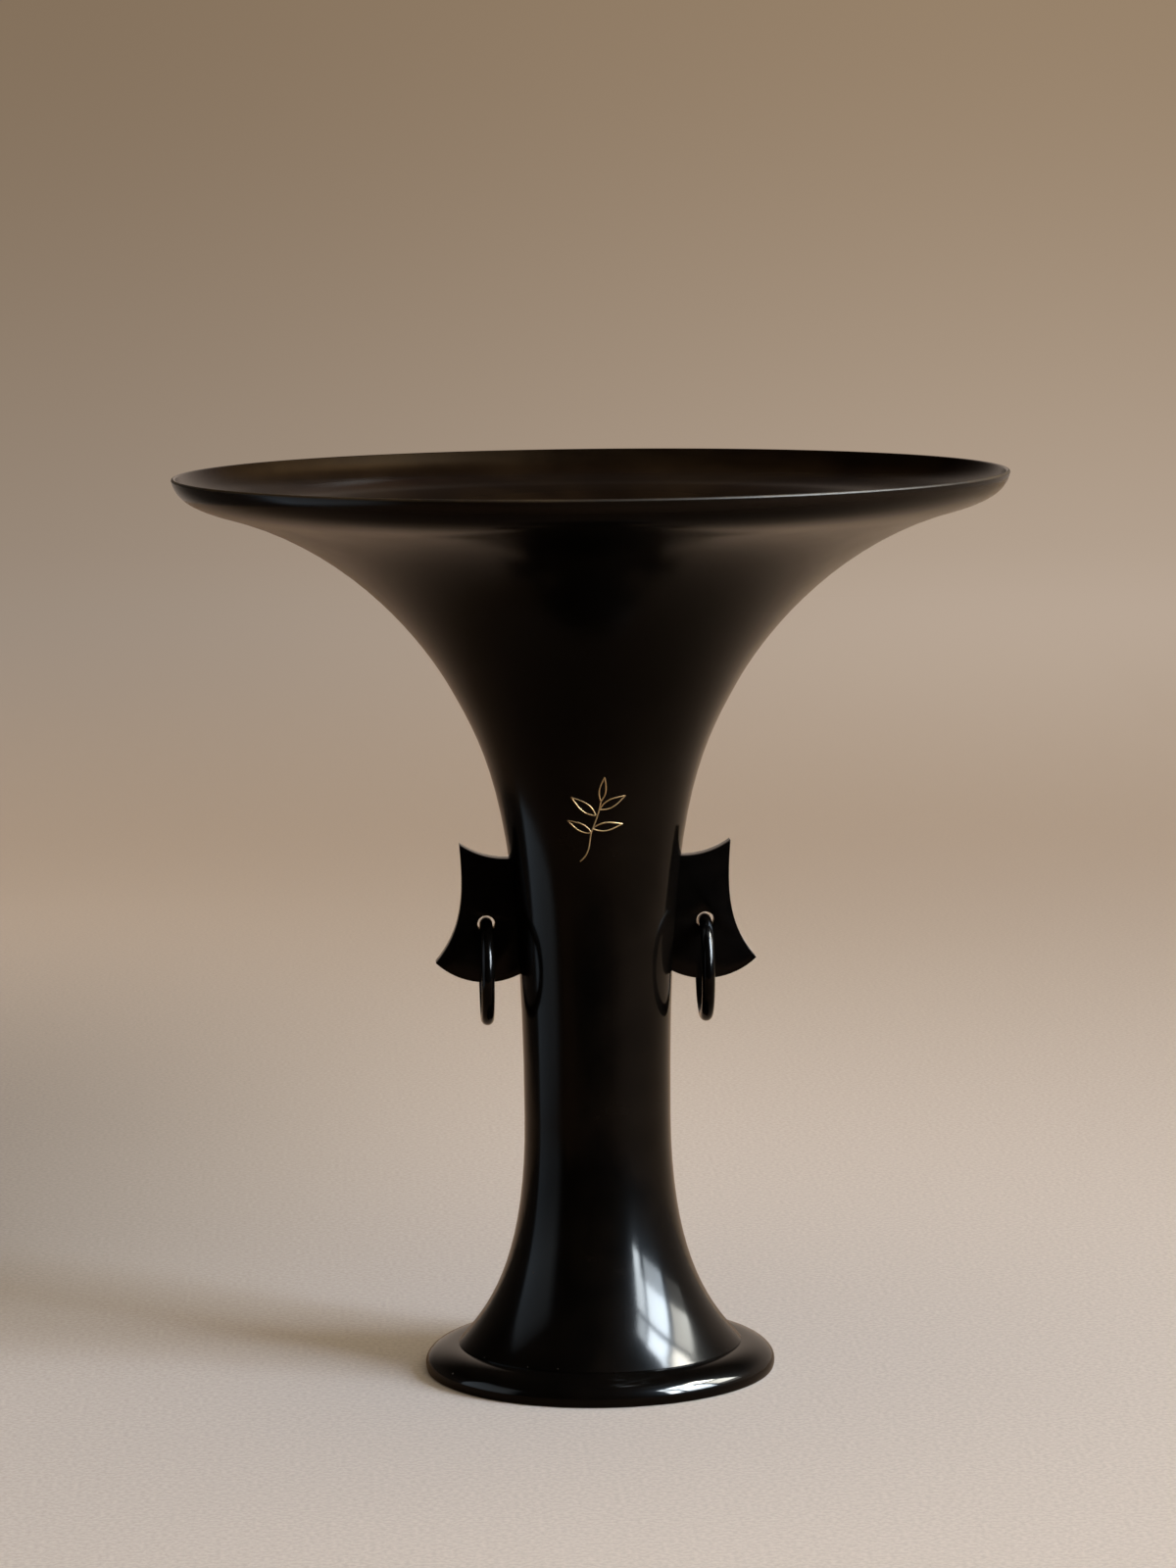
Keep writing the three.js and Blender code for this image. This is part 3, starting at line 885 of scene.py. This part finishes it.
sprig = stroke([board_knot(*place) for place in SPRIG_STEM])
leaf_sides = []
for leaf in SPRIG_LEAVES:
    leaf_sides.extend(leaf_strokes(*leaf))
joined(sprig, leaf_sides)
sprig.name = "gilt_sprig"
laid = sprig.modifiers.new("laid_on_body", "SHRINKWRAP")
laid.target = body
laid.wrap_method = "PROJECT"
laid.use_project_y = True
laid.use_positive_direction = True
laid.use_negative_direction = False
laid.offset = -SPRIG_SINK
bpy.ops.object.modifier_apply(modifier=laid.name)
bpy.ops.object.convert(target="CURVE")
sprig.data.bevel_depth = SPRIG_STROKE
sprig.data.bevel_resolution = SPRIG_ROUNDNESS
sprig.data.use_fill_caps = True
bpy.ops.object.convert(target="MESH")
tidied()
bpy.ops.object.shade_smooth_by_angle(angle=SPRIG_SHARP_ANGLE)
sprig.data.materials.clear()
sprig.data.materials.append(gilt())
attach(sprig, "vase")

# Studio: a pale matt floor, with painted shade, that fades into the room's painted tone, lit by a soft
# key from the window's side and a fill from above. The window's panes on the right, a dim screen on
# the left and a warm card on the floor with painted light and shade show only in the metal. The vase
# stands turned a little, so all this is turned back.

VASE_TURN = 3.0
studio = Matrix.Rotation(math.radians(-VASE_TURN), 4, "Z")
BLACK = (0, 0, 0, 1)
FLOOR_RADIUS = 4.0
FLOOR_FADE = (0.8, 3.0)
FLOOR_SIDES = 96
FLOOR_DROP = 0.0001
FLOOR_PALE = (0.52, 0.473, 0.426, 1)
# Towards the back the floor's colour turns darker as well as warmer: a painted shade
FLOOR_WARM_SHADED = (0.335, 0.265, 0.203, 1)
FLOOR_WARM_SHADING = (-0.15, 1.45)
FLOOR_NAP = (0.25, 0.22, 0.20, 1)
NAP_SCALE, NAP_SHARE = 620.0, 0.3

# The floor's soft painted shade behind the vase on the left: across, and where it rises and falls to the
# back
PAINTED_SHADE_ACROSS, PAINTED_SHADE_SHARE = (-0.30, 0.05), 0.45
PAINTED_SHADE_RISE, PAINTED_SHADE_IN_FRONT = (-0.05, 0.25), 0.3
PAINTED_SHADE_FALL = (0.4, 1.1)

# The room's painted tones low down and at the top, on either side, and how far up them the floor goes
PALE_AT_LEFT = (0.365, 0.297, 0.242, 1)
PALE_AT_RIGHT = (0.538, 0.437, 0.356, 1)
TOP_AT_LEFT = (0.225, 0.161, 0.104, 1)
TOP_AT_RIGHT = (0.310, 0.222, 0.143, 1)
FLOOR_CLIMB, FLOOR_CLIMB_SHARE = (0.4, 5.6), 0.555
FLOOR_TO_WINDOW = (-0.171, 0.225)

# The card's edges, then its painted light and shade: darker on the left, shaded near the foot and far off
CARD_EDGES_ACROSS = (-0.44, 0.8)
CARD_EDGES_BACK = (-0.45, 2.5)
CARD_SHADED_LEFT = (0.36, 0.26, 0.187, 1)
CARD_LIT_RIGHT = (0.60, 0.47, 0.35, 1)
CARD_ACROSS = (-0.25, 0.6)
CARD_NEAR, CARD_PAINTED_NEAR_SHADE = (0.1, 0.42), 0.4
CARD_FAR, CARD_PAINTED_FAR_SHADE = (0.5, 1.1), 0.25


def painted_room_tone(tree, climb, side):
    """The room behind the vase, as painted light: darker upwards, and brighter on the window's side."""
    left = mixed(tree, climb, PALE_AT_LEFT, TOP_AT_LEFT)
    right = mixed(tree, climb, PALE_AT_RIGHT, TOP_AT_RIGHT)
    return mixed(tree, side, left, right)


def measured(tree, operation, vector, output):
    """What a Vector Math node makes of one vector."""
    return add_node(tree, "ShaderNodeVectorMath", {"operation": operation}, Vector=vector).outputs[output]


def pale_floor():
    """A pale matt ground with a faint nap, warmer to the back, that goes over into the room's tone.

    It is also darker to the back and behind the vase on the left: painted shade. Where it fades
    out it glows for the camera with the room's tone, which is painted light.
    """
    material, tree, shader, place = new_material("pale_floor")
    parts = split(tree, place)
    across, back = parts["X"], parts["Y"]
    from_vase = measured(tree, "LENGTH", place, "Value")
    nap = add_node(tree, "ShaderNodeTexNoise", Vector=place, Scale=NAP_SCALE, Detail=4.0).outputs["Fac"]
    # A painted shade behind the vase on the left: the floor's colour is mixed towards black there.
    painted_shade = spread(tree, back, *PAINTED_SHADE_RISE, PAINTED_SHADE_IN_FRONT, 1.0)
    painted_shade = times(tree, painted_shade, spread(tree, back, *PAINTED_SHADE_FALL, 1.0, 0.0))
    painted_shade = times(tree, painted_shade, spread(tree, across, *PAINTED_SHADE_ACROSS, PAINTED_SHADE_SHARE, 0.0))
    fade = spread(tree, from_vase, *FLOOR_FADE, 0.0, 1.0)
    # Darker and warmer to the back: painted shade.
    colour = mixed(tree, spread(tree, back, *FLOOR_WARM_SHADING, 0.0, 1.0), FLOOR_PALE, FLOOR_WARM_SHADED)
    colour = mixed(tree, spread(tree, nap, *NOISE_RANGE, 0.0, NAP_SHARE), colour, FLOOR_NAP)
    colour = mixed(tree, painted_shade, colour, BLACK)
    colour = mixed(tree, fade, colour, BLACK)

    # For the camera the floor glows where it fades out, with the room's painted light.
    way_out = split(tree, measured(tree, "NORMALIZE", place, "Vector"))
    to_window = spread(tree, way_out["X"], *FLOOR_TO_WINDOW, 0.0, 1.0)
    climb = spread(tree, from_vase, *FLOOR_CLIMB, 0.0, FLOOR_CLIMB_SHARE)
    seen = tree.nodes.new("ShaderNodeLightPath").outputs["Is Camera Ray"]
    fitted(
        tree, shader, Specular_IOR_Level=0.0, Base_Color=colour,
        Emission_Color=painted_room_tone(tree, climb, to_window), Emission_Strength=times(tree, fade, seen),
        Alpha=spread(tree, from_vase, FLOOR_FADE[1], FLOOR_RADIUS, 1.0, 0.0),
    )
    return material


def warm_card():
    """The ground that the metal shows: brighter towards the window, and shaded close to the foot.

    Both are painted light and shade, and it is painted darker far off as well.
    """
    material, tree, shader, place = new_material("warm_card")
    from_vase = measured(tree, "LENGTH", place, "Value")
    to_window = spread(tree, split(tree, place)["X"], *CARD_ACROSS, 0.0, 1.0)
    colour = mixed(tree, to_window, CARD_SHADED_LEFT, CARD_LIT_RIGHT)
    painted_near_shade = spread(tree, from_vase, *CARD_NEAR, CARD_PAINTED_NEAR_SHADE, 0.0)
    painted_far_shade = spread(tree, from_vase, *CARD_FAR, 0.0, CARD_PAINTED_FAR_SHADE)
    colour = mixed(tree, plus(tree, painted_near_shade, painted_far_shade), colour, BLACK)
    fitted(tree, shader, Specular_IOR_Level=0.0, Base_Color=colour)
    return material


def shown_in_metal_only(card):
    """Hides a card from the camera and from matt surfaces, and keeps its shadow away."""
    card.visible_camera = False
    card.visible_diffuse = False
    card.visible_shadow = False


bpy.ops.object.select_all(action="DESELECT")
bpy.ops.mesh.primitive_circle_add(
    vertices=FLOOR_SIDES, radius=FLOOR_RADIUS, fill_type="NGON", location=(0, 0, -FLOOR_DROP)
)
wide_floor = bpy.context.object
wide_floor.name = "wide_floor"
wide_floor.visible_glossy = False
bpy.ops.mesh.primitive_plane_add(size=1)
near_floor = bpy.context.object
near_floor.name = "near_floor"
card_left, card_right = CARD_EDGES_ACROSS
card_front, card_back = CARD_EDGES_BACK
near_floor.matrix_world = (
    studio
    @ Matrix.Translation(((card_left + card_right) / 2, (card_front + card_back) / 2, 0))
    @ Matrix.Diagonal((card_right - card_left, card_back - card_front, 1, 1))
)
bpy.ops.object.transform_apply(location=True, rotation=True, scale=True)
shown_in_metal_only(near_floor)
for floor, finish in ((wide_floor, pale_floor()), (near_floor, warm_card())):
    floor.data.materials.append(finish)
    floor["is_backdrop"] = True

WALL_DISTANCE = 4.0
SKY_TINT = (0.60, 0.79, 1.0)
SUNLIT_TINT = (0.76, 0.84, 0.85)

# The window's lights: both ends along the wall, the tint, and the level in each row, from the bottom
WINDOW_COLUMNS = [
    (-3.8, -2.65, SKY_TINT, (190, 170, 110)),
    (-2.36, -0.50, SKY_TINT, (80, 230, 260)),
    (-0.12, 1.25, SUNLIT_TINT, (6, 74, 212)),
]
WINDOW_ROWS = [(1.1, 1.9), (1.9, 3.8), (4.2, 6.2)]

# The screen's light: its height on the wall and its level there
SCREEN_STOPS = [
    (-2.6, 0.0), (-2.3, 3.8), (-1.9, 3.4), (-1.2, 2.7), (-0.7, 1.7), (-0.2, 1.3),
    (0.8, 2.8), (1.8, 2.5), (2.7, 2.2), (3.8, 0.6),
]
SCREEN_ENDS = (0.85, -2.9)
SCREEN_FULL = -1.6
SCREEN_TINT = (0.62, 0.80, 1.0, 1)
KEY_ENDS = (-2.95, -0.65)
KEY_LEVEL = 42.0
KEY_TINT = (0.70, 0.81, 1.0)


def wall_light(name, side, ends, low, high, level, tint):
    """An upright light on the wall at one side, +1 or -1, between two ends and two heights."""
    width, tall = abs(ends[1] - ends[0]), high - low
    bpy.ops.object.light_add(type="AREA")
    lamp = bpy.context.object
    lamp.name = name
    lamp.data.shape = "RECTANGLE"
    lamp.data.size = width
    lamp.data.size_y = tall
    lamp.data.energy = level * math.pi * width * tall
    lamp.data.color = tint
    lamp.visible_camera = False
    facing = Vector((-side, 0, 0)).to_track_quat("-Z", "Y").to_matrix().to_4x4()
    middle = Matrix.Translation((side * WALL_DISTANCE, sum(ends) / 2, (low + high) / 2))
    lamp.matrix_world = studio @ middle @ facing
    return lamp


for column, (start, end, tint, levels) in enumerate(WINDOW_COLUMNS):
    for row, (low, high) in enumerate(WINDOW_ROWS):
        pane = wall_light(f"window_{column}_{row}", 1, (start, end), low, high, levels[row], tint)
        pane.visible_diffuse = False

screen_low, screen_high = SCREEN_STOPS[0][0], SCREEN_STOPS[-1][0]
screen_tall = screen_high - screen_low


def screen_glow():
    """Daylight on a screen, in bands by height, that fades to its near edge."""
    material, tree, shader, place = new_material("screen_glow")
    parts = split(tree, place)
    ramp = tree.nodes.new("ShaderNodeValToRGB")
    marks = ramp.color_ramp.elements
    while len(marks) < len(SCREEN_STOPS):
        marks.new(1.0)
    for mark, (height, level) in zip(marks, SCREEN_STOPS):
        mark.position = (height - screen_low) / screen_tall
        mark.color = (level, level, level, 1)
    climb = operated(tree, "DIVIDE", operated(tree, "SUBTRACT", parts["Z"], screen_low), screen_tall)
    fitted(tree, ramp, Fac=climb)
    near = spread(tree, parts["Y"], SCREEN_ENDS[1], SCREEN_FULL, 0.0, 1.0)
    fitted(
        tree, shader, Base_Color=BLACK, Specular_IOR_Level=0.0, Emission_Color=SCREEN_TINT,
        Emission_Strength=times(tree, ramp.outputs["Color"], near),
    )
    return material


bpy.ops.object.select_all(action="DESELECT")
bpy.ops.mesh.primitive_plane_add(size=1)
screen = bpy.context.object
screen.name = "left_screen"
screen.matrix_world = (
    Matrix.Translation((-WALL_DISTANCE, sum(SCREEN_ENDS) / 2, (screen_low + screen_high) / 2))
    @ Matrix.Rotation(math.pi / 2, 4, "Y")
    @ Matrix.Diagonal((screen_tall, SCREEN_ENDS[0] - SCREEN_ENDS[1], 1, 1))
)
bpy.ops.object.transform_apply(location=True, rotation=True, scale=True)
screen.matrix_world = studio
shown_in_metal_only(screen)
screen.data.materials.append(screen_glow())
screen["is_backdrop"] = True

key_low, key_high = WINDOW_ROWS[0][0], WINDOW_ROWS[1][1]
key = wall_light("window_key", 1, KEY_ENDS, key_low, key_high, KEY_LEVEL, KEY_TINT)
key.visible_glossy = False

FILL_LEVEL = 2.82
FILL_TINT = (1.0, 0.845, 0.635)
FILL_SOFTNESS = 100
FILL_LEAN = 22
FILL_TURN = -17
bpy.ops.object.light_add(type="SUN")
fill = bpy.context.object
fill.name = "overhead_fill"
fill.data.energy = FILL_LEVEL
fill.data.color = FILL_TINT
fill.data.angle = math.radians(FILL_SOFTNESS)
fill.rotation_euler = (0, math.radians(FILL_LEAN), math.radians(FILL_TURN))
fill.visible_glossy = False

# The room: seen from the camera it is painted light, pale low down, darker upwards and brighter towards
# the window.
# In the metal it is dim, but for a pale band low down on the far side, weaker on the left.

ROOM_DARK = (0.022, 0.017, 0.013, 1)
ROOM_GLOW = (0.52, 0.42, 0.345, 1)
BAND_UP = (0.25, 0.60)
BAND_BACK = (-0.7, 0.1)
BAND_ACROSS, BAND_AT_LEFT = (-0.55, -0.05), 0.12
ROOM_CLIMB = (-0.17, 0.05)
ROOM_TO_WINDOW = (-0.10, 0.17)

world = bpy.data.worlds.new("room")
bpy.context.scene.world = world
world.use_nodes = True
room = world.node_tree
way = split(room, room.nodes.new("ShaderNodeTexCoord").outputs["Generated"])
band = times(
    room, spread(room, way["Z"], *BAND_UP, 1.0, 0.0), spread(room, way["Y"], *BAND_BACK, 0.0, 1.0)
)
band = times(room, band, spread(room, way["X"], *BAND_ACROSS, BAND_AT_LEFT, 1.0))
around = mixed(room, band, ROOM_DARK, ROOM_GLOW)
climb = spread(room, way["Z"], *ROOM_CLIMB, 0.0, 1.0)
behind = painted_room_tone(room, climb, spread(room, way["X"], *ROOM_TO_WINDOW, 0.0, 1.0))
seen = room.nodes.new("ShaderNodeLightPath").outputs["Is Camera Ray"]
fitted(room, room.nodes["Background"], Color=mixed(room, seen, around, behind))

# Camera: as the photograph was taken, a little above the mouth and looking slightly down.
# It stands in the studio's frame, so it looks at the vase's front from a little to one side.

CAMERA_DISTANCE = 1.605
CAMERA_HEIGHT = 0.3969
CAMERA_PITCH = 7.11
CAMERA_YAW = -0.07
CAMERA_ROLL = -0.64
CAMERA_LENS = 112.2
CAMERA_SENSOR = 36

bpy.ops.object.camera_add()
camera = bpy.context.object
camera.data.sensor_width = CAMERA_SENSOR
camera.data.lens = CAMERA_LENS
camera.matrix_world = (
    studio
    @ Matrix.Translation((0, -CAMERA_DISTANCE, CAMERA_HEIGHT))
    @ Matrix.Rotation(math.radians(-CAMERA_YAW), 4, "Z")
    @ Matrix.Rotation(math.radians(90 - CAMERA_PITCH), 4, "X")
    @ Matrix.Rotation(math.radians(CAMERA_ROLL), 4, "Z")
)
bpy.context.scene.camera = camera
bpy.context.scene.view_settings.view_transform = "Standard"

low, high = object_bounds()
